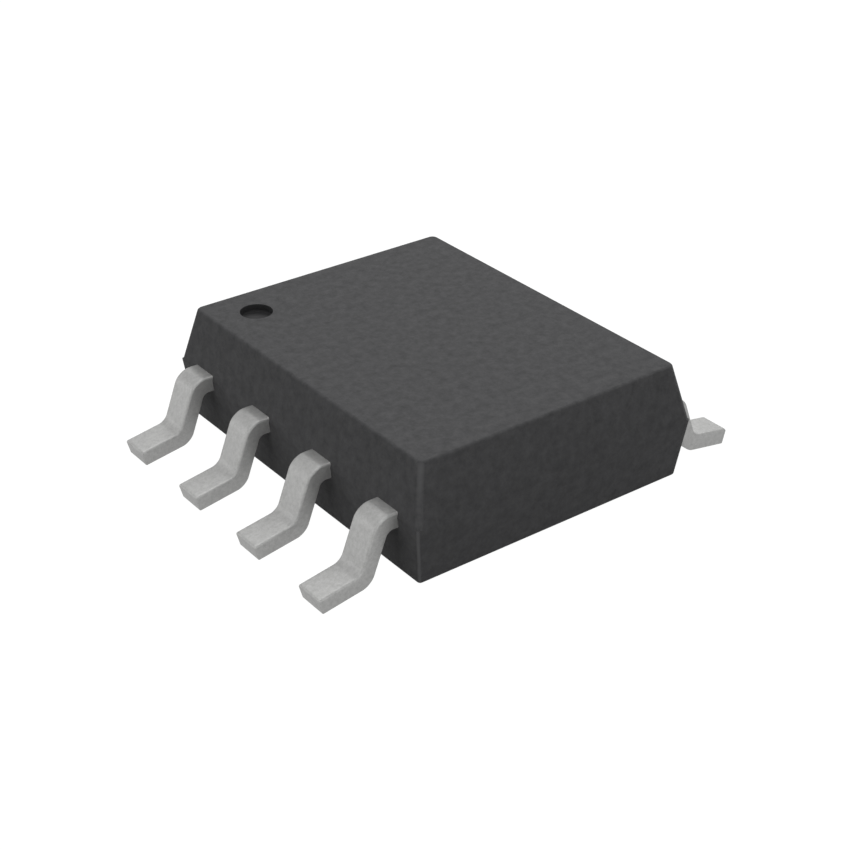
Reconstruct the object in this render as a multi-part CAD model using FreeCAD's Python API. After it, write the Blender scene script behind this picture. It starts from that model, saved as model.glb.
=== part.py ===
import FreeCAD, Part
import math
import os

# Eight-lead small-outline package in millimetres and degrees.
# X runs across the two rows of leads, Y along the body and Z up from the board.
# The origin is on the board, under the middle of the package.
# Leads are counted from the dimple: 1 to 4 down the -X side, 5 to 8 back up the +X side.

Vector = FreeCAD.Vector
UP = Vector(0, 0, 1)
ALONG_BODY = Vector(0, 1, 0)
ACROSS_BODY = Vector(1, 0, 0)

# Points closer than this are one point, and a swept wire's corners are mitred
TOUCHING = 1e-6
MITRED = 1

# Stamped strip that the leads and the paddle are made from
STRIP_THICKNESS = 0.20
LEADS_PER_SIDE = 4
LEAD_PITCH = 1.27
LEAD_WIDTH = 0.40
LEAD_SPAN = 6.06
SHOULDER_REACH = 0.185
LEG_LEAN = 20.9
FOOT_TILT = 9.7

# Radii of the leads' bends. The forming die squeezes the heel, so its two are closer than the strip is thick
SHOULDER_INNER_RADIUS = 0.09
SHOULDER_OUTER_RADIUS = 0.23
HEEL_INNER_RADIUS = 0.15
HEEL_OUTER_RADIUS = 0.21

# Moulded body, measured at the parting line and from the board up
BODY_WIDTH = 3.99
END_MARGIN = 0.56
STAND_OFF = 0.085
LOWER_HALF = 0.765
UPPER_HALF = 0.714
UPPER_DRAFT = 13.0
LOWER_DRAFT = 7.0
UPPER_CORNER_RADIUS = 0.08
LOWER_CORNER_RADIUS = 0.045
RIM_RADIUS = 0.03
STRIP_ABOVE_PARTING = 0.064

# Round dimple beside lead 1, and the ejector mark under the body
DIMPLE_DIAMETER = 0.405
DIMPLE_DEPTH = 0.10
DIMPLE_FROM_EDGES = 0.54
EJECTOR_DIAMETER = 0.90
EJECTOR_DEPTH = 0.03

# Silicon die and the layer that holds it
DIE_WIDTH = 1.40
DIE_LENGTH = 1.90
DIE_THICKNESS = 0.28
ATTACH_THICKNESS = 0.03
ATTACH_MARGIN = 0.06

# Paddle under the die, set down below the leads
PADDLE_BORDER = 0.30
PADDLE_DOWNSET = 0.20
TIE_WIDTH = 0.30
TIE_LEVEL_LENGTH = 0.12
TIE_SLOPE = 45.0
TIE_BEND = 0.10
TIE_COVER = 0.12

# Inner fingers of the leads
PADDLE_GAP = 0.20
MIDDLE_PAD_LENGTH = 0.34
MIDDLE_PAD_WIDTH = 0.56
CORNER_PAD_LENGTH = 0.52
CORNER_PAD_START = 0.73
CORNER_PAD_GAP = 0.25

# Gold bond wires
WIRE_DIAMETER = 0.05
BALL_DIAMETER = 0.09
BALL_HEIGHT = 0.035
STITCH_WIDTH = 0.08
STITCH_LENGTH = 0.07
STITCH_HEIGHT = 0.02
LOOP_HEIGHT = 0.21
LOOP_KNEE = 0.05
BALL_INSET = 0.12
INNER_BALL_Y = 0.30
STITCH_INSET = 0.15

# Heights and places that follow from the sizes above
PARTING_Z = STAND_OFF + LOWER_HALF
TOP_Z = PARTING_Z + UPPER_HALF
STRIP_TOP = PARTING_Z + STRIP_ABOVE_PARTING
STRIP_BOTTOM = STRIP_TOP - STRIP_THICKNESS
STRIP_MIDDLE = STRIP_TOP - STRIP_THICKNESS / 2
PADDLE_TOP = STRIP_TOP - PADDLE_DOWNSET
PADDLE_BOTTOM = PADDLE_TOP - STRIP_THICKNESS
PADDLE_MIDDLE = PADDLE_TOP - STRIP_THICKNESS / 2
DIE_BOTTOM = PADDLE_TOP + ATTACH_THICKNESS
DIE_TOP = DIE_BOTTOM + DIE_THICKNESS
CORNER_LEAD_Y = (LEADS_PER_SIDE - 1) * LEAD_PITCH / 2
HALF_WIDTH = BODY_WIDTH / 2
HALF_LENGTH = CORNER_LEAD_Y + END_MARGIN
PADDLE_HALF_WIDTH = DIE_WIDTH / 2 + PADDLE_BORDER
PADDLE_HALF_LENGTH = DIE_LENGTH / 2 + PADDLE_BORDER


def box_between(low, high):
    return Part.makeBox(high.x - low.x, high.y - low.y, high.z - low.z, low)


def rounded_rectangle(half_x, half_y, radius, z):
    """Closed wire of a rectangle about the Z axis, with four round corners."""
    inner_x = half_x - radius
    inner_y = half_y - radius
    diagonal = radius * math.sqrt(0.5)
    edges = []
    for turn in range(4):
        spin = FreeCAD.Rotation(UP, 90 * turn)
        reach, side = (half_x, half_y) if turn % 2 == 0 else (half_y, half_x)
        level, rise = (inner_x, inner_y) if turn % 2 == 0 else (inner_y, inner_x)
        corner_start = spin.multVec(Vector(reach, rise, z))
        corner_middle = spin.multVec(Vector(level + diagonal, rise + diagonal, z))
        corner_end = spin.multVec(Vector(level, side, z))
        side_start = spin.multVec(Vector(reach, -rise, z))
        edges.append(Part.makeLine(side_start, corner_start))
        edges.append(Part.Arc(corner_start, corner_middle, corner_end).toShape())
    return Part.Wire(edges)


def drafted_half(outer_z, draft, corner_radius):
    """One half of the moulding, from the parting line to its flat face at outer_z."""
    shrink = abs(outer_z - PARTING_Z) * math.tan(math.radians(draft))
    parting = rounded_rectangle(HALF_WIDTH, HALF_LENGTH, corner_radius, PARTING_Z)
    face = rounded_rectangle(HALF_WIDTH - shrink, HALF_LENGTH - shrink, corner_radius, outer_z)
    high, low = (face, parting) if outer_z > PARTING_Z else (parting, face)
    sides = [side_between(above, below) for above, below in zip(high.Edges, low.Edges)]
    half = Part.Solid(Part.Shell([Part.Face(high), Part.Face(low)] + sides))
    half.fix(TOUCHING, TOUCHING, TOUCHING)
    rim = [edge for edge in half.Edges if lies_at(edge, outer_z)]
    return half.makeFillet(RIM_RADIUS, rim)


def side_between(above, below):
    """Flat side between two lines, or the round corner between two arcs."""
    if isinstance(above.Curve, Part.Line):
        start, end = [vertex.Point for vertex in above.Vertexes]
        foot_start, foot_end = [vertex.Point for vertex in below.Vertexes]
        return Part.Face(Part.makePolygon([start, end, foot_end, foot_start, start]))
    return Part.makeRuledSurface(above, below)


def lies_at(edge, z):
    """True for an edge that runs level at the height z."""
    bounds = edge.BoundBox
    return abs(bounds.ZMin - z) < TOUCHING and abs(bounds.ZMax - z) < TOUCHING


def moulded_outside():
    """The moulding's outer form: two drafted halves, the dimple and the ejector mark."""
    lower = drafted_half(STAND_OFF, LOWER_DRAFT, LOWER_CORNER_RADIUS)
    upper = drafted_half(TOP_Z, UPPER_DRAFT, UPPER_CORNER_RADIUS)
    top_shrink = UPPER_HALF * math.tan(math.radians(UPPER_DRAFT))
    dimple_x = HALF_WIDTH - top_shrink - DIMPLE_FROM_EDGES
    dimple_y = HALF_LENGTH - top_shrink - DIMPLE_FROM_EDGES
    dimple_base = Vector(-dimple_x, dimple_y, TOP_Z - DIMPLE_DEPTH)
    dimple = Part.makeCylinder(DIMPLE_DIAMETER / 2, DIMPLE_DEPTH, dimple_base)
    ejector_mark = Part.makeCylinder(EJECTOR_DIAMETER / 2, EJECTOR_DEPTH, Vector(0, 0, STAND_OFF))
    return upper.fuse(lower).cut([dimple, ejector_mark])


def offset_edges(corners, bends, offset, to_space):
    """Lines and arcs beside a bent middle line, offset to its left.

    corners are the middle line's sharp points as (run, z), and bends the inner and outer
    radius at each point between its ends. to_space turns (run, z) into a point.
    """
    points = [Vector(run, z, 0) for run, z in corners]
    steps = [(b - a).normalize() for a, b in zip(points, points[1:])]
    lefts = [UP.cross(step) for step in steps]
    here = points[0] + lefts[0] * offset
    edges = []
    for index, (inner_radius, outer_radius) in enumerate(bends):
        turn = steps[index].cross(steps[index + 1]).z
        angle = steps[index].getAngle(steps[index + 1])
        side = math.copysign(1, turn)
        radius = inner_radius if side * offset > 0 else outer_radius
        bisector = (lefts[index] + lefts[index + 1]).normalize()
        corner = points[index + 1] + bisector * (offset / math.cos(angle / 2))
        arc = [corner - steps[index] * (radius * math.tan(angle / 2))]
        centre = arc[0] + lefts[index] * (side * radius)
        half_turn = FreeCAD.Rotation(UP, math.degrees(side * angle / 2))
        arc.append(centre + half_turn.multVec(arc[0] - centre))
        arc.append(centre + half_turn.multVec(arc[1] - centre))
        edges.append(Part.makeLine(to_space(here), to_space(arc[0])))
        edges.append(Part.Arc(*[to_space(point) for point in arc]).toShape())
        here = arc[2]
    end = points[-1] + lefts[-1] * offset
    edges.append(Part.makeLine(to_space(here), to_space(end)))
    return edges


def formed_strip(corners, bends, run, width_way, middle, width):
    """Strip bent along its middle line, standing in the plane of run and Z.

    run is the direction that the corners' first value counts along, and middle is how
    far along width_way the strip's centre lies.
    """
    half = STRIP_THICKNESS / 2
    start = width_way * (middle - width / 2)

    def to_space(point):
        return run * point.x + UP * point.y + start

    left = offset_edges(corners, bends, half, to_space)
    right = offset_edges(corners, bends, -half, to_space)
    first = Part.makeLine(right[0].Vertexes[0].Point, left[0].Vertexes[0].Point)
    last = Part.makeLine(left[-1].Vertexes[-1].Point, right[-1].Vertexes[-1].Point)
    outline = Part.Wire(Part.__sortEdges__(left + right + [first, last]))
    return Part.Face(outline).extrude(width_way * width)


def lead_corners(inner_end):
    """Sharp corners of a lead's middle line, from inside the body to the toe."""
    lean = math.radians(LEG_LEAN)
    tilt = math.radians(FOOT_TILT)
    shoulder = HALF_WIDTH + SHOULDER_REACH
    toe_bottom = LEAD_SPAN / 2 - STRIP_THICKNESS * math.sin(tilt)
    toe = toe_bottom + STRIP_THICKNESS / 2 * math.sin(tilt)
    toe_z = STRIP_THICKNESS / 2 * math.cos(tilt)
    drop = STRIP_MIDDLE - toe_z - math.tan(tilt) * (toe - shoulder)
    leg = drop / (math.cos(lean) - math.sin(lean) * math.tan(tilt))
    heel = shoulder + leg * math.sin(lean)
    heel_z = STRIP_MIDDLE - leg * math.cos(lean)
    return [(inner_end, STRIP_MIDDLE), (shoulder, STRIP_MIDDLE), (heel, heel_z), (toe, toe_z)]


def is_corner(row):
    return row in (0, LEADS_PER_SIDE - 1)


def lead_y(row):
    """Middle of a lead on the -X side, row 0 being lead 1."""
    return CORNER_LEAD_Y - row * LEAD_PITCH


def pad_outline(row):
    """Low and high corners of a lead's bonding pad as (distance from the middle, y)."""
    y = lead_y(row)
    if not is_corner(row):
        tip = PADDLE_HALF_WIDTH + PADDLE_GAP
        half = MIDDLE_PAD_WIDTH / 2
        return (tip, y - half), (tip + MIDDLE_PAD_LENGTH, y + half)
    way = math.copysign(1, y)
    inner = way * (PADDLE_HALF_LENGTH + CORNER_PAD_GAP)
    outer = y + way * LEAD_WIDTH / 2
    low, high = sorted((inner, outer))
    return (CORNER_PAD_START, low), (CORNER_PAD_START + CORNER_PAD_LENGTH, high)


def lead(row):
    """A lead of the -X side: the formed strip, and the bonding pad at its inner end."""
    (near, low), (far, high) = pad_outline(row)
    pad = box_between(Vector(-far, low, STRIP_BOTTOM), Vector(-near, high, STRIP_TOP))
    bends = [(SHOULDER_INNER_RADIUS, SHOULDER_OUTER_RADIUS), (HEEL_INNER_RADIUS, HEEL_OUTER_RADIUS)]
    strip = formed_strip(lead_corners(far), bends, -ACROSS_BODY, ALONG_BODY, lead_y(row), LEAD_WIDTH)
    return strip.fuse(pad).removeSplitter()


def die_paddle():
    """Paddle with the two tie bars that carried it in the stamped strip."""
    slope_run = PADDLE_DOWNSET / math.tan(math.radians(TIE_SLOPE))
    foot = PADDLE_HALF_LENGTH + TIE_LEVEL_LENGTH
    knee = foot + slope_run
    tip = HALF_LENGTH - TIE_COVER
    corners = [(0, PADDLE_MIDDLE), (foot, PADDLE_MIDDLE), (knee, STRIP_MIDDLE), (tip, STRIP_MIDDLE)]
    bend = (TIE_BEND, TIE_BEND + STRIP_THICKNESS)
    ways = (ALONG_BODY, -ALONG_BODY)
    ties = [formed_strip(corners, [bend, bend], way, ACROSS_BODY, 0, TIE_WIDTH) for way in ways]
    low = Vector(-PADDLE_HALF_WIDTH, -PADDLE_HALF_LENGTH, PADDLE_BOTTOM)
    high = Vector(PADDLE_HALF_WIDTH, PADDLE_HALF_LENGTH, PADDLE_TOP)
    return box_between(low, high).fuse(ties).removeSplitter()


def die_attach():
    """Adhesive layer, spread a little past the die where it meets the paddle."""
    spread = Part.makePolygon(rectangle(ATTACH_MARGIN, PADDLE_TOP))
    under_die = Part.makePolygon(rectangle(0, DIE_BOTTOM))
    return Part.makeLoft([spread, under_die], True, True)


def rectangle(margin, z):
    """Closed list of corners of the die's outline, grown by margin."""
    x = DIE_WIDTH / 2 + margin
    y = DIE_LENGTH / 2 + margin
    return [Vector(x, y, z), Vector(-x, y, z), Vector(-x, -y, z), Vector(x, -y, z), Vector(x, y, z)]


def die():
    low = Vector(-DIE_WIDTH / 2, -DIE_LENGTH / 2, DIE_BOTTOM)
    high = Vector(DIE_WIDTH / 2, DIE_LENGTH / 2, DIE_TOP)
    return box_between(low, high)


def wire_ends(row):
    """Ball and stitch centres of a wire of the -X side."""
    y = lead_y(row)
    way = math.copysign(1, y)
    (near, low), (_, high) = pad_outline(row)
    ball_x = DIE_WIDTH / 2 - BALL_INSET
    if is_corner(row):
        inner = min(abs(low), abs(high))
        ball = Vector(-ball_x, way * (DIE_LENGTH / 2 - BALL_INSET), DIE_TOP)
        return ball, Vector(-near - STITCH_INSET, way * (inner + STITCH_INSET), STRIP_TOP)
    ball = Vector(-ball_x, way * INNER_BALL_Y, DIE_TOP)
    return ball, Vector(-near - STITCH_INSET, y, STRIP_TOP)


def bond_wire(row):
    """Wire of the -X side: ball on the die, loop over the gap, stitch on the lead."""
    ball, stitch = wire_ends(row)
    neck = ball + UP * BALL_HEIGHT
    peak = ball + UP * LOOP_HEIGHT
    fall = (stitch - peak).normalize()
    path = Part.makePolygon([neck, peak - UP * LOOP_KNEE, peak + fall * LOOP_KNEE, stitch + fall * WIRE_DIAMETER])
    section = Part.Wire([Part.makeCircle(WIRE_DIAMETER / 2, neck, UP)])
    loop = path.makePipeShell([section], True, False, MITRED)
    around = Vector(WIRE_DIAMETER, WIRE_DIAMETER, 0) * 4
    inside_lead = box_between(stitch - around - UP * STRIP_THICKNESS, stitch + around)
    squashed_ball = Part.makeCone(BALL_DIAMETER / 2, WIRE_DIAMETER / 2, BALL_HEIGHT, ball)
    wedge = Part.makeBox(STITCH_LENGTH, STITCH_WIDTH, STITCH_HEIGHT, stitch - Vector(0, STITCH_WIDTH / 2, 0))
    heading = math.degrees(math.atan2(fall.y, fall.x))
    wedge.rotate(stitch, UP, heading)
    return loop.cut(inside_lead).fuse([squashed_ball, wedge]).removeSplitter()


def turned_round(shape):
    """The same piece on the other side of the package."""
    copy = shape.copy()
    copy.rotate(Vector(0, 0, 0), UP, 180)
    return copy


def inner_pieces():
    """Every piece that the moulding holds, by node name."""
    pieces = {"die_paddle": die_paddle(), "die_attach": die_attach(), "die": die()}
    for row in range(LEADS_PER_SIDE):
        opposite = LEADS_PER_SIDE + row + 1
        pieces[f"lead_{row + 1}"] = lead(row)
        pieces[f"lead_{opposite}"] = turned_round(lead(row))
        pieces[f"bond_wire_{row + 1}"] = bond_wire(row)
        pieces[f"bond_wire_{opposite}"] = turned_round(bond_wire(row))
    return pieces


def main():
    os.makedirs("parts", exist_ok=True)
    pieces = inner_pieces()
    pieces["moulded_body"] = moulded_outside().cut(list(pieces.values()))
    for name, shape in pieces.items():
        shape.exportStep(f"parts/{name}.step")


main()
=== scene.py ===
"""Dresses the eight-lead small-outline package: fine meshes, finishes, floor, light and camera."""

import logging
import math
from collections.abc import Iterable
from dataclasses import dataclass, field
from enum import Enum

import bmesh
import bpy
from mathutils import Matrix, Vector


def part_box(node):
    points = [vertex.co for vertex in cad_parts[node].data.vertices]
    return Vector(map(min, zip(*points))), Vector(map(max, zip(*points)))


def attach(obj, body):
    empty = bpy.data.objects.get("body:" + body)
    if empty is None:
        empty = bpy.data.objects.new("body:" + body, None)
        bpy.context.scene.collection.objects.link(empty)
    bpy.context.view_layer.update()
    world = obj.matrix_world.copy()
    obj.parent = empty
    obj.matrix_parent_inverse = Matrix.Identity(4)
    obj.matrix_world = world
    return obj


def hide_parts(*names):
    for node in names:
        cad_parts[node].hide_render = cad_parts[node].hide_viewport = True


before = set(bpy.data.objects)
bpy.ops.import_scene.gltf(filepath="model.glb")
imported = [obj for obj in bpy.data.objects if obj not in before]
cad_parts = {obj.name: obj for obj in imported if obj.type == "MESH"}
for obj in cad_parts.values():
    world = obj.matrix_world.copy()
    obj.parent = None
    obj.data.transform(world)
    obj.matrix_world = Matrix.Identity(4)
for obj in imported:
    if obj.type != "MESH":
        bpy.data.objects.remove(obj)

LEADS_PER_SIDE = 4

# A millimetre in metres. Shapes are worked in millimetres and written in metres
MM = 0.001

# Directions in the dimple's row of leads, and the size of a matrix that turns and moves
UP = Vector((0, 0, 1))
ALONG_BODY = Vector((0, 1, 0))
OUTWARD = Vector((-1, 0, 0))
MATRIX_SIZE = 4

# Points nearer than this, in millimetres, are one point
WELD = 1e-5

# Least cosine between two directions that count as the same
ALIGNED = 0.999

# Faces meet at a sharp edge over the first angle, and are one face under the second
SHARP_ANGLE = math.radians(18)
FLAT_ANGLE = math.radians(0.1)

# The punch rolled the edges of the faces that look this way, to within the cosine given
ROLLED_SIDE = Vector((-1, 0, 1)).normalized()
ROLLED_LEAST = 0.65

# A strip's bend has one edge inside and one outside
EDGES_AT_BEND = 2

# Weight at which the large faces at a vertex set its normal
LARGE_FACES_LEAD = 100

# The sRGB curve: a straight line up to the knee and a power above it
SRGB_KNEE = 0.04045
SRGB_SLOPE = 12.92
SRGB_OFFSET = 0.055
SRGB_POWER = 2.4

# Noise of a finish's fine grain and of its larger patches
GRAIN_DETAIL = 3.0
GRAIN_ROUGHNESS = 0.6
PATCH_DETAIL = 5.0
PATCH_ROUGHNESS = 0.75

# Patch noise at which the colour is still the finish's own and at which it is all fleck
PATCH_START = 0.3
PATCH_END = 0.7

# Product of the normal's x and y where the painted highlight on a rounded upright edge begins and where it is
# brightest
EDGE_HIGHLIGHT_START = 0.20
EDGE_HIGHLIGHT_END = 0.50

# Numbers of the colour sockets of a mix node, whose names are shared by its other kinds
COLOUR_A = 6
COLOUR_B = 7
COLOUR_RESULT = 2

log = logging.getLogger("package")


class Change(Enum):
    """What other solids do to a solid."""

    JOIN = "UNION"
    CUT = "DIFFERENCE"


class Side(Enum):
    """Row of leads, as the turn about Z that takes a piece of the dimple's row there."""

    DIMPLE = 0.0
    FAR = math.pi

    @classmethod
    def of(cls, number: int) -> "Side":
        """The row that the lead or wire with this number belongs to."""
        return cls.DIMPLE if number <= LEADS_PER_SIDE else cls.FAR

    @property
    def turn(self) -> Matrix:
        """The row's turn about Z as a matrix."""
        return Matrix.Rotation(self.value, MATRIX_SIZE, "Z")


def linear(hex_colour: str) -> tuple[float, float, float, float]:
    """Turns an sRGB hex value to linear light.

    Args:
        hex_colour: A colour such as "#b4b4b2".

    Returns:
        Red, green, blue and an alpha of 1.
    """
    parts = [int(hex_colour[i : i + 2], 16) / 255 for i in (1, 3, 5)]
    red, green, blue = [
        c / SRGB_SLOPE if c <= SRGB_KNEE else ((c + SRGB_OFFSET) / (1 + SRGB_OFFSET)) ** SRGB_POWER
        for c in parts
    ]
    return red, green, blue, 1.0


def add_node(
    tree: bpy.types.NodeTree, kind: str, inputs: dict[str | int, object] | None = None, **settings: object
) -> bpy.types.Node:
    """Adds a node with its settings, socket values and links.

    Args:
        tree: The node tree of a material or of the world.
        kind: The node's type, such as "ShaderNodeTexNoise".
        inputs: Socket names or numbers with a value, or with (node, output name) for a link.
        settings: The node's own properties.

    Returns:
        The new node.
    """
    node = tree.nodes.new(kind)
    for name, value in settings.items():
        setattr(node, name, value)
    for socket, value in (inputs or {}).items():
        if isinstance(value, tuple) and isinstance(value[0], bpy.types.Node):
            tree.links.new(value[0].outputs[value[1]], node.inputs[socket])
        else:
            node.inputs[socket].default_value = value
    return node


def new_tree(name: str) -> tuple[bpy.types.Material, bpy.types.NodeTree]:
    """Makes an empty node material.

    Args:
        name: The material's name.

    Returns:
        The material and its node tree.
    """
    material = bpy.data.materials.new(name)
    material.use_nodes = True
    material.node_tree.nodes.clear()
    return material, material.node_tree


@dataclass(frozen=True)
class Finish:
    """A finish with fine grain: a base colour that varies a little and a surface that is not quite smooth.

    Sizes are in millimetres. grain_height is how far the surface rises and falls, patch_size is how large
    the patches of fleck are, and the edge colour, where it is set, is a painted highlight: a paler colour on
    rounded upright edges.
    """

    name: str
    slot: str
    colour: str
    fleck: str
    roughness: float
    metallic: float = 0.0
    specular_level: float = 0.5
    grain_size: float = 0.03
    grain_height: float = 0.001
    patch_size: float = 0.12
    painted_edge_highlight: str | None = None

    def material(self) -> bpy.types.Material:
        """Builds the finish as a node material.

        Returns:
            The material.
        """
        material, tree = new_tree(self.name)
        place = add_node(tree, "ShaderNodeTexCoord")
        here = (place, "Object")
        grain = add_node(
            tree,
            "ShaderNodeTexNoise",
            {
                "Vector": here,
                "Scale": 1 / (self.grain_size * MM),
                "Detail": GRAIN_DETAIL,
                "Roughness": GRAIN_ROUGHNESS,
            },
        )
        patches = add_node(
            tree,
            "ShaderNodeTexNoise",
            {
                "Vector": here,
                "Scale": 1 / (self.patch_size * MM),
                "Detail": PATCH_DETAIL,
                "Roughness": PATCH_ROUGHNESS,
            },
        )
        tint = add_node(tree, "ShaderNodeValToRGB", {"Fac": (patches, "Fac")})
        for element, position, hex_colour in zip(
            tint.color_ramp.elements, (PATCH_START, PATCH_END), (self.colour, self.fleck)
        ):
            element.position = position
            element.color = linear(hex_colour)
        colour = (tint, "Color")
        # Where an edge colour is set, rounded upright edges get it as a painted highlight
        if self.painted_edge_highlight:
            colour = self.with_painted_edge_highlight(tree, place, tint)
        relief = add_node(
            tree,
            "ShaderNodeBump",
            {"Height": (grain, "Fac"), "Distance": self.grain_height * MM, "Strength": 1.0},
        )
        surface = add_node(
            tree,
            "ShaderNodeBsdfPrincipled",
            {
                "Base Color": colour,
                "Metallic": self.metallic,
                "Roughness": self.roughness,
                "Specular IOR Level": self.specular_level,
                "Normal": (relief, "Normal"),
            },
        )
        add_node(tree, "ShaderNodeOutputMaterial", {"Surface": (surface, "BSDF")})
        return material

    def with_painted_edge_highlight(
        self, tree: bpy.types.NodeTree, place: bpy.types.Node, tint: bpy.types.Node
    ) -> tuple[bpy.types.Node, int]:
        """Paints a highlight on rounded upright edges, where the normal's x and y are both large, by mixing
        in a paler colour.

        Args:
            tree: The material's node tree.
            place: The texture coordinates.
            tint: The colour everywhere else.

        Returns:
            The node and the number of its output for the base colour.
        """
        parts = add_node(tree, "ShaderNodeSeparateXYZ", {"Vector": (place, "Normal")})
        both = add_node(tree, "ShaderNodeMath", {0: (parts, "X"), 1: (parts, "Y")}, operation="MULTIPLY")
        size = add_node(tree, "ShaderNodeMath", {0: (both, "Value")}, operation="ABSOLUTE")
        share = add_node(
            tree,
            "ShaderNodeMapRange",
            {"Value": (size, "Value"), "From Min": EDGE_HIGHLIGHT_START, "From Max": EDGE_HIGHLIGHT_END},
        )
        mix = add_node(
            tree,
            "ShaderNodeMix",
            {"Factor": (share, "Result"), COLOUR_A: (tint, "Color"), COLOUR_B: linear(self.painted_edge_highlight)},
            data_type="RGBA",
        )
        return mix, COLOUR_RESULT


# Transfer-moulded epoxy with silica filler, from a spark-eroded mould: near black, matte and finely grained,
# with a painted highlight on its rounded upright edges
MOULDED_EPOXY = Finish(
    name="moulded_epoxy",
    slot="mould_compound",
    colour="#4a4a4b",
    fleck="#5f5f60",
    roughness=0.8,
    specular_level=0.12,
    grain_size=0.03,
    grain_height=0.0016,
    # Painted highlight: the paler colour of the rounded upright edges
    painted_edge_highlight="#6e6e6f",
)

# The same compound against the mould's polished pins, in the dimple and the ejector mark: smoother, and
# darker as a painted shade in these recesses
PIN_MARK_PAINTED_SHADE = Finish(
    name="epoxy_pin_mark_painted_shade",
    slot="mould_compound",
    colour="#363637",
    fleck="#3d3d3e",
    roughness=0.6,
    specular_level=0.12,
    grain_size=0.03,
    grain_height=0.0004,
)

# Electroplated matte tin: crystals of a few micrometres scatter the light, so it is grey and mirrors nothing
MATTE_TIN = Finish(
    name="matte_tin_plate",
    slot="tin_plated_lead",
    colour="#919190",
    fleck="#a3a3a2",
    roughness=0.58,
    metallic=1.0,
    grain_size=0.02,
    grain_height=0.002,
    patch_size=0.05,
)

# Rolled copper alloy strip, bare inside the moulding: warm in colour and satin
ROLLED_COPPER_ALLOY = Finish(
    name="rolled_copper_alloy",
    slot="strip_metal",
    colour="#d9a98a",
    fleck="#e2b698",
    roughness=0.38,
    metallic=1.0,
    grain_size=0.02,
    grain_height=0.0006,
)

# Cured epoxy full of silver flakes: pale grey, dull and partly metallic
SILVER_EPOXY = Finish(
    name="silver_filled_epoxy",
    slot="silver_epoxy",
    colour="#b9b9b6",
    fleck="#cfcfcb",
    roughness=0.55,
    metallic=0.4,
    grain_size=0.012,
    grain_height=0.001,
)

# Polished silicon under its clear passivation: dark blue grey and glossy
POLISHED_SILICON = Finish(
    name="polished_silicon",
    slot="silicon",
    colour="#5b5f6b",
    fleck="#666a78",
    roughness=0.12,
    metallic=0.5,
    grain_size=0.05,
    grain_height=0.0001,
)

# Drawn gold wire: smooth, bright and deep yellow
DRAWN_GOLD = Finish(
    name="drawn_gold_wire",
    slot="gold_wire",
    colour="#eecf7b",
    fleck="#f3d98f",
    roughness=0.22,
    metallic=1.0,
    grain_size=0.01,
    grain_height=0.0001,
)


def midpoint(edge: bmesh.types.BMEdge) -> Vector:
    """The point halfway along an edge."""
    return (edge.verts[0].co + edge.verts[1].co) / 2


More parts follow.
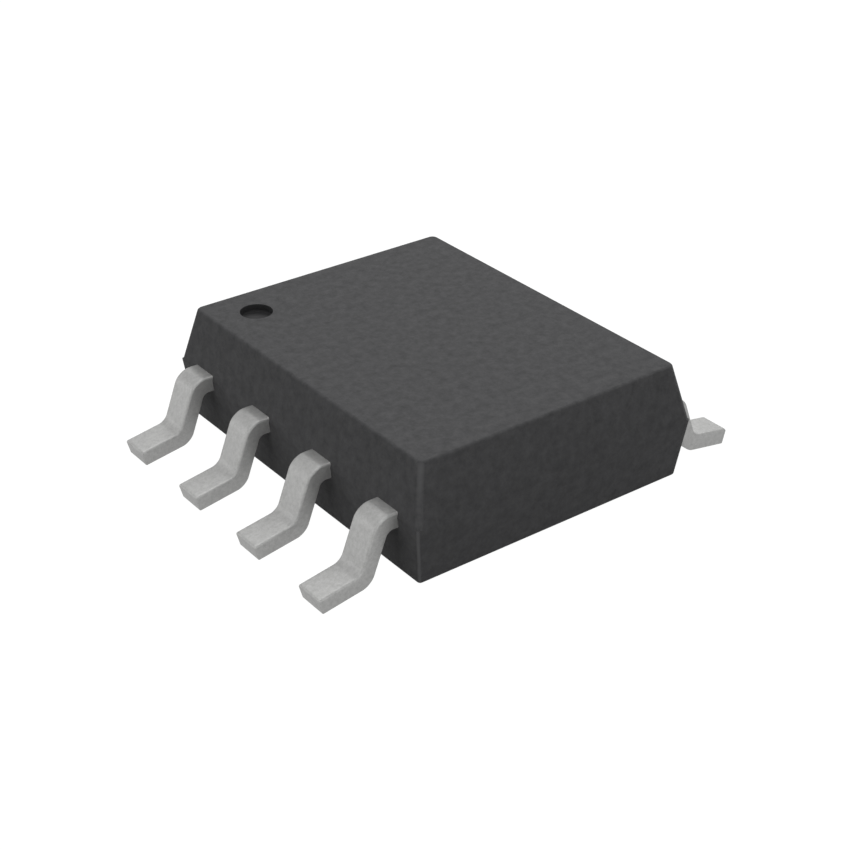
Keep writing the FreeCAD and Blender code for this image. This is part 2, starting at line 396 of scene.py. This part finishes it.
class Shape:
    """A mesh in the making. It is worked in millimetres and becomes a piece in metres."""

    def __init__(self) -> None:
        """Starts empty."""
        self.bm = bmesh.new()

    def block(self, low: Vector, high: Vector) -> None:
        """Adds a block between two corners."""
        place = Matrix.LocRotScale((low + high) / 2, None, high - low)
        bmesh.ops.create_cube(self.bm, size=1, matrix=place)

    def cut_line(self, point: Vector, normal: Vector) -> None:
        """Divides every face that a plane crosses, and takes nothing away."""
        geom = [*self.bm.verts, *self.bm.edges, *self.bm.faces]
        bmesh.ops.bisect_plane(self.bm, geom=geom, dist=WELD, plane_co=point, plane_no=normal)

    def facing(self, way: Vector) -> list[bmesh.types.BMFace]:
        """The faces that look one way."""
        self.bm.normal_update()
        return [f for f in self.bm.faces if f.normal.dot(way) > ALIGNED]

    def push(self, face: bmesh.types.BMFace, step: Vector) -> bmesh.types.BMFace:
        """Extrudes a face straight.

        Args:
            face: The face at the growing end.
            step: How far it goes.

        Returns:
            The face at the new end.
        """
        grown = bmesh.ops.extrude_face_region(self.bm, geom=[face, *face.edges, *face.verts])["geom"]
        verts = [g for g in grown if isinstance(g, bmesh.types.BMVert)]
        bmesh.ops.translate(self.bm, verts=verts, vec=step)
        return next(g for g in grown if isinstance(g, bmesh.types.BMFace))

    def swing(
        self, face: bmesh.types.BMFace, centre: Vector, axis: Vector, angle: float, steps: int
    ) -> bmesh.types.BMFace:
        """Extrudes a face round an axis.

        Args:
            face: The face at the growing end.
            centre: A point on the axis.
            axis: The axis's direction.
            angle: How far it turns, in radians.
            steps: How many short facets the bend has.

        Returns:
            The face at the new end.
        """
        spun = bmesh.ops.spin(
            self.bm,
            geom=[face, *face.edges, *face.verts],
            cent=centre,
            axis=axis,
            dvec=(0, 0, 0),
            angle=angle,
            steps=steps,
            use_duplicate=False,
        )
        return next(g for g in spun["geom_last"] if isinstance(g, bmesh.types.BMFace))

    def follow(
        self, face: bmesh.types.BMFace, corners: list[Vector], bends: list[float], steps: int
    ) -> bmesh.types.BMFace:
        """Extrudes a face along a bent line that starts at the face.

        Args:
            face: The face at the line's first point.
            corners: The line's sharp points.
            bends: The line's radius at each point between its ends.
            steps: How many facets each bend has.

        Returns:
            The face at the line's end.
        """
        here = corners[0]
        for before, corner, after, bend in zip(corners, corners[1:], corners[2:], bends):
            coming, going = (corner - before).normalized(), (after - corner).normalized()
            angle, axis = coming.angle(going), coming.cross(going).normalized()
            start = corner - coming * bend * math.tan(angle / 2)
            face = self.push(face, start - here)
            face = self.swing(face, start + axis.cross(coming) * bend, axis, angle, steps)
            here = corner + going * bend * math.tan(angle / 2)
        return self.push(face, corners[-1] - here)

    def follow_mitred(self, face: bmesh.types.BMFace, corners: list[Vector]) -> None:
        """Extrudes a face along a line that starts at it, with a sharp mitre at every bend and a square end.

        Args:
            face: The face at the line's first point.
            corners: The line's points.
        """
        ways = [(after - before).normalized() for before, after in zip(corners, corners[1:])]
        for here, there, way, onward in zip(corners, corners[1:], ways, ways[1:] + ways[-1:]):
            face = self.push(face, there - here)
            mitre = (way + onward).normalized()
            for vert in face.verts:
                vert.co += way * ((there - vert.co).dot(mitre) / way.dot(mitre))

    def merge_flat(self) -> None:
        """Makes one face of those that lie in one plane side by side."""
        bmesh.ops.dissolve_limit(self.bm, angle_limit=FLAT_ANGLE, verts=self.bm.verts, edges=self.bm.edges)

    def round_bend(self, corner: Vector, inner: float, outer: float, segments: int) -> None:
        """Rounds the two edges that cross a strip at a sharp bend.

        Args:
            corner: The bend's point on the strip's middle line.
            inner: The radius on the hollow side.
            outer: The radius on the full side.
            segments: How many facets each round has.
        """
        self.bm.normal_update()
        crossing = [e for e in self.bm.edges if abs((e.verts[0].co - e.verts[1].co).normalized().y) > ALIGNED]
        crossing.sort(key=lambda e: (midpoint(e) - corner).length)
        for edge in crossing[:EDGES_AT_BEND]:
            radius = outer if edge.is_convex else inner
            self.round_edges([edge], radius * math.tan(edge.calc_face_angle() / 2), segments)

    def round_edges(self, edges: list[bmesh.types.BMEdge], reach: float, segments: int) -> None:
        """Rounds edges.

        Args:
            edges: The edges.
            reach: How far from the edge the round starts, which is its radius at a square edge.
            segments: How many facets the round has.
        """
        bmesh.ops.bevel(
            self.bm,
            geom=edges,
            offset=reach,
            offset_type="OFFSET",
            segments=segments,
            profile=0.5,
            affect="EDGES",
            clamp_overlap=True,
            material=-1,
        )

    def nearest_edge(self, point: Vector) -> bmesh.types.BMEdge:
        """The edge whose middle is nearest to a point."""
        return min(self.bm.edges, key=lambda e: (midpoint(e) - point).length)

    def edges_at(self, level: float) -> list[bmesh.types.BMEdge]:
        """The edges that lie at one height."""
        return [e for e in self.bm.edges if all(abs(v.co.z - level) < WELD for v in e.verts)]

    def sharp_edges(self, point: Vector, way: Vector) -> list[bmesh.types.BMEdge]:
        """The edges beyond a plane where two faces meet at more than the angle that counts as sharp.

        Args:
            point: A point on the plane.
            way: The plane's direction, towards the edges that are wanted.

        Returns:
            The edges.
        """
        self.bm.normal_update()
        return [
            e
            for e in self.bm.edges
            if e.is_manifold and e.calc_face_angle() > SHARP_ANGLE and (midpoint(e) - point).dot(way) > WELD
        ]

    def tidy(self) -> None:
        """Joins doubled points and points every face outwards."""
        bmesh.ops.remove_doubles(self.bm, verts=self.bm.verts, dist=WELD)
        bmesh.ops.recalc_face_normals(self.bm, faces=self.bm.faces)

    def part_behind(self, point: Vector, normal: Vector) -> "Shape":
        """Copies the part on the near side of a plane.

        Args:
            point: A point on the plane.
            normal: The plane's direction, towards the part that is left out.

        Returns:
            The part as a closed solid.
        """
        part = Shape()
        part.bm = self.bm.copy()
        geom = [*part.bm.verts, *part.bm.edges, *part.bm.faces]
        cut = bmesh.ops.bisect_plane(
            part.bm, geom=geom, dist=WELD, plane_co=point, plane_no=normal, clear_outer=True
        )
        rim = [g for g in cut["geom_cut"] if isinstance(g, bmesh.types.BMEdge)]
        bmesh.ops.contextual_create(part.bm, geom=rim)
        return part

    def turned(self, turn: Matrix) -> "Shape":
        """Turns the shape in place and returns it."""
        bmesh.ops.transform(self.bm, matrix=turn, verts=self.bm.verts)
        return self

    def mesh(self, name: str, scale: float = 1.0) -> bpy.types.Mesh:
        """Writes the shape to a mesh.

        Args:
            name: The mesh's name.
            scale: 1 for millimetres, MM for metres.

        Returns:
            The mesh.
        """
        mesh = bpy.data.meshes.new(name)
        self.bm.to_mesh(mesh)
        mesh.transform(Matrix.Scale(scale, MATRIX_SIZE))
        return mesh

    @classmethod
    def of_mesh(cls, mesh: bpy.types.Mesh, scale: float = 1.0) -> "Shape":
        """Reads a mesh, with its loose triangles joined.

        Args:
            mesh: The mesh to read.
            scale: 1 for a mesh in millimetres, 1 / MM for one in metres.

        Returns:
            The shape in millimetres.
        """
        shape = cls()
        shape.bm.from_mesh(mesh)
        bmesh.ops.transform(shape.bm, matrix=Matrix.Scale(scale, MATRIX_SIZE), verts=shape.bm.verts)
        bmesh.ops.remove_doubles(shape.bm, verts=shape.bm.verts, dist=WELD)
        return shape


def box_mm(node: str) -> tuple[Vector, Vector]:
    """The lowest and highest corner of a node of the fixed frame, in millimetres."""
    low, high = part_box(node)
    return low / MM, high / MM


def combine(shape: Shape, others: Iterable[Shape], change: Change) -> Shape:
    """Joins other shapes to a shape or takes them out of it, one after another.

    Args:
        shape: The solid to change.
        others: The solids to join or take away.
        change: What they do to it.

    Returns:
        The new solid.
    """
    body = bpy.data.objects.new("changed", shape.mesh("changed"))
    bpy.context.scene.collection.objects.link(body)
    tools = []
    for index, other in enumerate(others):
        tool = bpy.data.objects.new(f"tool_{index}", other.mesh(f"tool_{index}"))
        bpy.context.scene.collection.objects.link(tool)
        tools.append(tool)
        modifier = body.modifiers.new(tool.name, "BOOLEAN")
        modifier.operation = change.value
        modifier.solver = "EXACT"
        modifier.object = tool
    graph = bpy.context.evaluated_depsgraph_get()
    result = Shape.of_mesh(bpy.data.meshes.new_from_object(body.evaluated_get(graph)))
    for made in [body, *tools]:
        bpy.data.objects.remove(made)
    return result


def make_piece(
    name: str, shape: Shape, finish: Finish, materials: list[bpy.types.Material], *nodes: str
) -> bpy.types.Object:
    """Makes a shape a piece of the package.

    Args:
        name: The piece's name.
        shape: The shape in millimetres.
        finish: The piece's finish; not used.
        materials: The finish's material, and after it that of the shape's marks where it has some.
        nodes: The nodes of the fixed frame that the piece stands for.

    Returns:
        The piece, riding on the package.
    """
    mesh = shape.mesh(name, MM)
    mesh.shade_smooth()
    mesh.set_sharp_from_angle(angle=SHARP_ANGLE)
    for material in materials:
        mesh.materials.append(material)
    piece = bpy.data.objects.new(name, mesh)
    bpy.context.scene.collection.objects.link(piece)
    flatten = piece.modifiers.new("weighted_normals", "WEIGHTED_NORMAL")
    flatten.keep_sharp = True
    flatten.weight = LARGE_FACES_LEAD
    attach(piece, "root")
    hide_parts(*nodes)
    log.info("%s: %d faces", name, len(mesh.polygons))
    return piece


@dataclass
class Lead:
    """One lead: the pad and finger inside the moulding, and the formed leg and foot outside.

    Sizes are in millimetres and degrees.
    """

    number: int
    thickness: float = 0.20
    width: float = 0.40
    shoulder_reach: float = 0.185
    leg_lean: float = 20.9
    foot_tilt: float = 9.7
    shoulder_inner_radius: float = 0.09
    shoulder_outer_radius: float = 0.23
    heel_inner_radius: float = 0.15
    heel_outer_radius: float = 0.21
    middle_pad_length: float = 0.34
    corner_pad_length: float = 0.52
    toe_set_back: float = 0.02
    rolled_radius: float = 0.03
    cut_radius: float = 0.015
    held_margin: float = 0.05
    edge_segments: int = 6
    bend_steps: int = 14

    @property
    def node(self) -> str:
        """The lead's node in the fixed frame."""
        return f"lead_{self.number}"

    @property
    def side(self) -> Side:
        """The row that the lead stands in."""
        return Side.of(self.number)

    def box(self) -> tuple[Vector, Vector]:
        """Finds the lead's box.

        Returns:
            The lowest and highest corner in millimetres, turned to the dimple's row.
        """
        corners = [self.side.turn @ corner for corner in box_mm(self.node)]
        low = Vector(map(min, *corners))
        high = Vector(map(max, *corners))
        return low, high

    @property
    def at_corner(self) -> bool:
        """True for the first and last lead of a row, whose pad reaches past the paddle."""
        return self.number % LEADS_PER_SIDE in (0, 1)

    def middle_y(self) -> float:
        """Finds the leg's middle.

        Returns:
            Its y in the dimple's row.
        """
        low, high = self.box()
        if not self.at_corner:
            return (low.y + high.y) / 2
        return high.y - self.width / 2 if high.y > 0 else low.y + self.width / 2

    def line(self, start_x: float, half_body: float) -> list[Vector]:
        """The strip's middle line outside its pad.

        Args:
            start_x: The x where the pad ends.
            half_body: Half the body's width at its parting line.

        Returns:
            The line's sharp points, from the pad to the toe.
        """
        low, high = self.box()
        lean, tilt = math.radians(self.leg_lean), math.radians(self.foot_tilt)
        half = self.thickness / 2
        middle_z = high.z - half
        shoulder = half_body + self.shoulder_reach
        toe = -low.x - half * math.sin(tilt)
        toe_z = half * math.cos(tilt)
        drop = middle_z - toe_z - math.tan(tilt) * (toe - shoulder)
        leg = drop / (math.cos(lean) - math.sin(lean) * math.tan(tilt))
        profile = [
            (-start_x, middle_z),
            (shoulder, middle_z),
            (shoulder + leg * math.sin(lean), middle_z - leg * math.cos(lean)),
            (toe, toe_z),
        ]
        return [Vector((-run, self.middle_y(), z)) for run, z in profile]

    def shape(self, half_body: float) -> Shape:
        """Builds the lead where it stands.

        Args:
            half_body: Half the body's width at its parting line.

        Returns:
            The lead as one closed solid.
        """
        low, high = self.box()
        made = Shape()
        length = self.corner_pad_length if self.at_corner else self.middle_pad_length
        pad_end = high.x - length
        made.block(Vector((pad_end, low.y, high.z - self.thickness)), high)
        middle = self.middle_y()
        for edge_y in (middle - self.width / 2, middle + self.width / 2):
            if low.y + WELD < edge_y < high.y - WELD:
                made.cut_line(Vector((0, edge_y, 0)), ALONG_BODY)
        start = min(made.facing(OUTWARD), key=lambda f: abs(f.calc_center_median().y - middle))
        line = self.line(pad_end, half_body)
        made.follow_mitred(start, line)
        made.tidy()
        made.merge_flat()
        _, shoulder, heel, toe = line
        under = made.nearest_edge(toe - UP * self.thickness)
        bmesh.ops.translate(made.bm, verts=under.verts[:], vec=(heel - toe).normalized() * self.toe_set_back)
        made.round_bend(shoulder, self.shoulder_inner_radius, self.shoulder_outer_radius, self.bend_steps)
        made.round_bend(heel, self.heel_inner_radius, self.heel_outer_radius, self.bend_steps)
        section = OUTWARD * (half_body - self.held_margin)
        made.cut_line(section, OUTWARD)
        sharp = made.sharp_edges(section, OUTWARD)
        rolled = [e for e in sharp if any(f.normal.dot(ROLLED_SIDE) > ROLLED_LEAST for f in e.link_faces)]
        made.round_edges(rolled, self.rolled_radius, self.edge_segments)
        made.round_edges(made.sharp_edges(section, OUTWARD), self.cut_radius, self.edge_segments)
        return made.turned(self.side.turn)

    def held_part(self, shape: Shape, half_body: float) -> Shape:
        """Copies the part of the lead that the compound flows round, with a little of the outside.

        Args:
            shape: The lead.
            half_body: Half the body's width at its parting line.

        Returns:
            The part as a closed solid.
        """
        outward = self.side.turn @ OUTWARD
        return shape.part_behind(outward * (half_body + self.held_margin), outward)


@dataclass
class BondWire:
    """A gold wire: the ball on the die, the loop over the gap and the stitch on the lead's pad.

    Sizes are in millimetres.
    """

    number: int
    lead: Lead
    wire: float = 0.05
    ball: float = 0.09
    ball_height: float = 0.035
    stitch_width: float = 0.08
    stitch_length: float = 0.07
    stitch_height: float = 0.02
    loop_height: float = 0.21
    knee: float = 0.05
    ball_inset: float = 0.12
    inner_ball_y: float = 0.30
    stitch_inset: float = 0.15
    sides: int = 24
    knee_steps: int = 10

    @property
    def node(self) -> str:
        """The wire's node in the fixed frame."""
        return f"bond_wire_{self.number}"

    def ends(self) -> tuple[Vector, Vector]:
        """Finds where the wire is bonded.

        Returns:
            The ball's and the stitch's place in the dimple's row.
        """
        die_low, die_high = box_mm("die")
        low, high = self.lead.box()
        middle = self.lead.middle_y()
        way = math.copysign(1, middle)
        ball_x = die_low.x + self.ball_inset
        stitch_x = high.x - self.stitch_inset
        if not self.lead.at_corner:
            ball = Vector((ball_x, way * self.inner_ball_y, die_high.z))
            return ball, Vector((stitch_x, middle, high.z))
        inner = min(abs(low.y), abs(high.y))
        ball = Vector((ball_x, way * (die_high.y - self.ball_inset), die_high.z))
        return ball, Vector((stitch_x, way * (inner + self.stitch_inset), high.z))

    def stitch(self, place: Vector, fall: Vector) -> Shape:
        """Builds the flat end that the bonding tool pressed on the pad.

        Args:
            place: Where the wire's middle line meets the pad.
            fall: The way in which the wire comes down.

        Returns:
            The stitch as a closed solid that reaches as far under the pad's surface as above it.
        """
        made = Shape()
        high = Vector((self.stitch_length, self.stitch_width / 2, self.stitch_height))
        made.block(Vector((0, -high.y, -high.z)), high)
        heading = Matrix.Rotation(math.atan2(fall.y, fall.x), MATRIX_SIZE, "Z")
        return made.turned(Matrix.Translation(place) @ heading)

    def shape(self) -> Shape:
        """Builds the wire where it is bonded.

        Returns:
            The wire as one closed solid.
        """
        ball, stitch = self.ends()
        neck = ball + UP * self.ball_height
        peak = ball + UP * self.loop_height
        fall = (stitch - peak).normalized()
        made = Shape()
        bmesh.ops.create_circle(
            made.bm,
            cap_ends=True,
            segments=self.sides,
            radius=self.ball / 2,
            matrix=Matrix.Translation(ball),
        )
        face = made.push(made.bm.faces[:][0], neck - ball)
        about_neck = Matrix.Translation(neck)
        squeeze = about_neck @ Matrix.Scale(self.wire / self.ball, MATRIX_SIZE) @ about_neck.inverted()
        bmesh.ops.transform(made.bm, matrix=squeeze, verts=face.verts[:])
        bend = self.knee / math.tan(UP.angle(fall) / 2)
        made.follow(face, [neck, peak, stitch + fall * self.wire], [bend], self.knee_steps)
        made.tidy()
        # Joined first and cut along the pad after, because a shared plane joins differently each time
        made = combine(made, [self.stitch(stitch, fall)], Change.JOIN).part_behind(stitch, -UP)
        return made.turned(self.lead.side.turn)


@dataclass
class PinMark:
    """The round mark that a pin of the mould leaves: the dimple or the ejector mark.

    Sizes are in millimetres. The depth is negative on the underside.
    """

    mouth: Vector
    diameter: float
    depth: float
    floor_radius: float = 0.0
    sides: int = 96
    segments: int = 8

    def cutter(self) -> Shape:
        """Builds the solid that sinks the mark.

        Returns:
            The solid, which stands proud of the surface by the mark's own depth.
        """
        made = Shape()
        bmesh.ops.create_cone(
            made.bm,
            cap_ends=True,
            segments=self.sides,
            radius1=self.diameter / 2,
            radius2=self.diameter / 2,
            depth=2 * abs(self.depth),
            matrix=Matrix.Translation(self.mouth),
        )
        if self.floor_radius:
            made.round_edges(made.edges_at(self.mouth.z - self.depth), self.floor_radius, self.segments)
        return made

    def holds(self, face: bmesh.types.BMFace) -> bool:
        """True for a face of the mark's wall or floor."""
        away = self.mouth - face.calc_center_median()
        return WELD < away.z / self.depth < 1 + WELD and away.xy.length < self.diameter / 2 + WELD


@dataclass
class Moulding:
    """The moulded body: two drafted halves that meet at the parting line, the dimple and the ejector mark.

    Sizes are in millimetres and degrees.
    """

    strip_above_parting: float = 0.064
    upper_draft: float = 13.0
    lower_draft: float = 7.0
    upper_corner_radius: float = 0.08
    lower_corner_radius: float = 0.045
    rim_radius: float = 0.03
    round_segments: int = 8
    dimple: float = 0.405
    dimple_depth: float = 0.10
    dimple_from_edges: float = 0.54
    dimple_floor_radius: float = 0.03
    ejector_mark: float = 0.90
    ejector_depth: float = 0.03
    node: str = "moulded_body"

    def box(self) -> tuple[Vector, Vector]:
        """The body's box in millimetres."""
        return box_mm(self.node)

    def half_width(self) -> float:
        """Half the width across the leads, at the parting line."""
        return self.box()[1].x

    def parting(self) -> float:
        """Height of the parting line."""
        return box_mm("lead_1")[1].z - self.strip_above_parting

    def half(self, level: float, draft: float, corner_radius: float) -> Shape:
        """Builds one half, from the parting line to its flat face.

        Args:
            level: The height of the flat face.
            draft: The lean of the half's sides.
            corner_radius: The radius of its four upright corners.

        Returns:
            The half as a closed solid.
        """
        low, high = self.box()
        parting = self.parting()
        made = Shape()
        made.block(Vector((low.x, low.y, min(level, parting))), Vector((high.x, high.y, max(level, parting))))
        shrink = abs(level - parting) * math.tan(math.radians(draft))
        narrow = Matrix.Diagonal((1 - shrink / high.x, 1 - shrink / high.y, 1, 1))
        face = [v for v in made.bm.verts if abs(v.co.z - level) < WELD]
        bmesh.ops.transform(made.bm, matrix=narrow, verts=face)
        upright = [e for e in made.bm.edges if abs(e.verts[0].co.z - e.verts[1].co.z) > WELD]
        made.round_edges(upright, corner_radius, self.round_segments)
        made.round_edges(made.edges_at(level), self.rim_radius, self.round_segments)
        made.tidy()
        return made

    def outside(self) -> Shape:
        """Builds the two halves as one solid.

        Returns:
            The body before anything is taken out of it.
        """
        low, high = self.box()
        lower = self.half(low.z, self.lower_draft, self.lower_corner_radius)
        upper = self.half(high.z, self.upper_draft, self.upper_corner_radius)
        return combine(upper, [lower], Change.JOIN)

    def marks(self) -> list[PinMark]:
        """Places the marks that the mould's pins leave.

        Returns:
            The dimple beside lead 1 and the ejector mark underneath.
        """
        low, high = self.box()
        shrink = (high.z - self.parting()) * math.tan(math.radians(self.upper_draft))
        from_middle = shrink + self.dimple_from_edges
        mouth = Vector((from_middle - high.x, high.y - from_middle, high.z))
        return [
            PinMark(mouth, self.dimple, self.dimple_depth, self.dimple_floor_radius),
            PinMark(Vector((0, 0, low.z)), self.ejector_mark, -self.ejector_depth),
        ]

    def shape(self, held: Iterable[Shape]) -> Shape:
        """Builds the body round the pieces that it holds.

        Args:
            held: The pieces that the compound flowed round.

        Returns:
            The body.
        """
        marks = self.marks()
        made = combine(self.outside(), [*(mark.cutter() for mark in marks), *held], Change.CUT)
        # Faces of the dimple and the ejector mark take the second material, whose darker colour is a painted
        # shade in these recesses
        for face in made.bm.faces:
            face.material_index = int(any(mark.holds(face) for mark in marks))
        return made


@dataclass(frozen=True)
class Lamp:
    """A soft square lamp that points at the package.

    turn is the way round to it, 0 being -Y and 90 being -X, and above its height over the horizon,
    in degrees. Its distance and the length of its side are in millimetres.
    """

    name: str
    turn: float
    above: float
    watts: float
    distance: float = 60.0
    size: float = 30.0


@dataclass
class Studio:
    """Floor, world, lamps and camera. Lengths are in millimetres and angles in degrees."""

    lamps: tuple[Lamp, ...] = (
        Lamp("back", turn=225, above=50, watts=0.0138),
        Lamp("over", turn=225, above=75, watts=0.0040),
        Lamp("front", turn=0, above=8, watts=0.0078),
        Lamp("top", turn=45, above=75, watts=0.0060),
        Lamp("far_left", turn=135, above=8, watts=0.0054),
        Lamp("left", turn=90, above=8, watts=0.0042),
    )
    floor_size: float = 600.0
    floor_glow: float = 0.8
    floor_white: float = 1.25
    floor_grey: str = "#9a9a9a"
    world_level: float = 0.14
    camera_from: float = 36.93
    camera_above: float = 29.95
    camera_distance: float = 21.207
    camera_aim: Vector = field(default_factory=lambda: Vector((-0.201, -0.211, 0.497)))
    focal_length: float = 74.6
    sensor: float = 36.0

    def seen_directly(self, tree: bpy.types.NodeTree) -> bpy.types.Node:
        """Tells what the camera sees from the light that falls on the package.

        Args:
            tree: The node tree of the floor or of the world.

        Returns:
            The node whose value is 1 for what is seen directly, in a reflection or through glass.
        """
        path = add_node(tree, "ShaderNodeLightPath")
        mirrored = add_node(
            tree,
            "ShaderNodeMath",
            {0: (path, "Is Camera Ray"), 1: (path, "Is Glossy Ray")},
            operation="MAXIMUM",
        )
        return add_node(
            tree,
            "ShaderNodeMath",
            {0: (mirrored, "Value"), 1: (path, "Is Transmission Ray")},
            operation="MAXIMUM",
        )

    def floor(self) -> bpy.types.Object:
        """Lays the floor under the feet.

        Returns:
            The floor, which is white to the eye and keeps a faint shadow.
        """
        material, tree = new_tree("studio_floor")
        paper = add_node(tree, "ShaderNodeBsdfDiffuse", {"Color": linear(self.floor_grey)})
        glow = add_node(tree, "ShaderNodeEmission", {"Color": (1, 1, 1, 1), "Strength": self.floor_white})
        share = add_node(
            tree,
            "ShaderNodeMath",
            {0: (self.seen_directly(tree), "Value"), 1: self.floor_glow},
            operation="MULTIPLY",
        )
        mix = add_node(
            tree, "ShaderNodeMixShader", {"Fac": (share, "Value"), 1: (paper, "BSDF"), 2: (glow, "Emission")}
        )
        add_node(tree, "ShaderNodeOutputMaterial", {"Surface": (mix, "Shader")})
        ground = Shape()
        bmesh.ops.create_grid(ground.bm, x_segments=1, y_segments=1, size=self.floor_size / 2)
        mesh = ground.mesh("floor", MM)
        mesh.materials.append(material)
        floor = bpy.data.objects.new("floor", mesh)
        bpy.context.scene.collection.objects.link(floor)
        return floor

    def world(self) -> None:
        """Surrounds the package with a soft even light, seen as white."""
        world = bpy.data.worlds.new("studio")
        bpy.context.scene.world = world
        world.use_nodes = True
        tree = world.node_tree
        tree.nodes.clear()
        strength = add_node(
            tree,
            "ShaderNodeMapRange",
            {"Value": (self.seen_directly(tree), "Value"), "To Min": self.world_level, "To Max": 1.0},
        )
        light = add_node(
            tree, "ShaderNodeBackground", {"Color": (1, 1, 1, 1), "Strength": (strength, "Result")}
        )
        add_node(tree, "ShaderNodeOutputWorld", {"Surface": (light, "Background")})

    def hang(self, lamp: Lamp) -> bpy.types.Object:
        """Hangs a lamp.

        Args:
            lamp: Its place, size and strength.

        Returns:
            The lamp in the scene.
        """
        data = bpy.data.lights.new(lamp.name, "AREA")
        data.size = lamp.size * MM
        data.energy = lamp.watts
        hung = bpy.data.objects.new(lamp.name, data)
        back = self.direction(lamp.turn, lamp.above)
        hung.location = back * lamp.distance * MM
        hung.rotation_mode = "QUATERNION"
        hung.rotation_quaternion = back.to_track_quat("Z", "Y")
        bpy.context.scene.collection.objects.link(hung)
        return hung

    @staticmethod
    def direction(turn: float, above: float) -> Vector:
        """Unit vector towards a place, from its way round (0 is -Y, 90 is -X) and its height."""
        a, e = math.radians(turn), math.radians(above)
        return Vector((-math.sin(a) * math.cos(e), -math.cos(a) * math.cos(e), math.sin(e)))

    def camera(self) -> None:
        """Sets the camera at the photograph's viewing angle."""
        data = bpy.data.cameras.new("camera")
        data.sensor_width = self.sensor
        data.lens = self.focal_length
        data.clip_start = MM
        data.clip_end = self.floor_size * MM
        camera = bpy.data.objects.new("camera", data)
        back = self.direction(self.camera_from, self.camera_above)
        camera.location = (self.camera_aim + back * self.camera_distance) * MM
        camera.rotation_mode = "QUATERNION"
        camera.rotation_quaternion = back.to_track_quat("Z", "Y")
        bpy.context.scene.collection.objects.link(camera)
        bpy.context.scene.camera = camera

    def build(self) -> None:
        """Sets up everything round the package."""
        bpy.context.scene.view_settings.view_transform = "Standard"
        self.world()
        self.floor()
        for lamp in self.lamps:
            self.hang(lamp)
        self.camera()


def dress_node(node: str, finish: Finish) -> None:
    """Gives a node of the fixed frame its finish.

    Args:
        node: The node's name.
        finish: Its finish.
    """
    material = finish.material()
    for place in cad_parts[node].material_slots:
        place.material = material


def main() -> None:
    """Builds the package and its studio."""
    logging.basicConfig(level=logging.INFO, format="%(name)s %(message)s")
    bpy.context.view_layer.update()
    Studio().build()
    moulding = Moulding()
    leads = [Lead(number) for number in range(1, 2 * LEADS_PER_SIDE + 1)]
    wires = [BondWire(lead.number, lead) for lead in leads]
    tin, gold = MATTE_TIN.material(), DRAWN_GOLD.material()
    held = []
    for lead in leads:
        shape = lead.shape(moulding.half_width())
        held.append(lead.held_part(shape, moulding.half_width()))
        make_piece(f"{lead.node}_formed", shape, MATTE_TIN, [tin], lead.node)
    for wire in wires:
        shape = wire.shape()
        held.append(shape)
        make_piece(f"{wire.node}_looped", shape, DRAWN_GOLD, [gold], wire.node)
    for node, finish in {
        "die_paddle": ROLLED_COPPER_ALLOY,
        "die_attach": SILVER_EPOXY,
        "die": POLISHED_SILICON,
    }.items():
        dress_node(node, finish)
        held.append(Shape.of_mesh(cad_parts[node].data, 1 / MM))
    compound = [MOULDED_EPOXY.material(), PIN_MARK_PAINTED_SHADE.material()]
    make_piece("moulding", moulding.shape(held), MOULDED_EPOXY, compound, moulding.node)


if __name__ == "__main__":
    main()
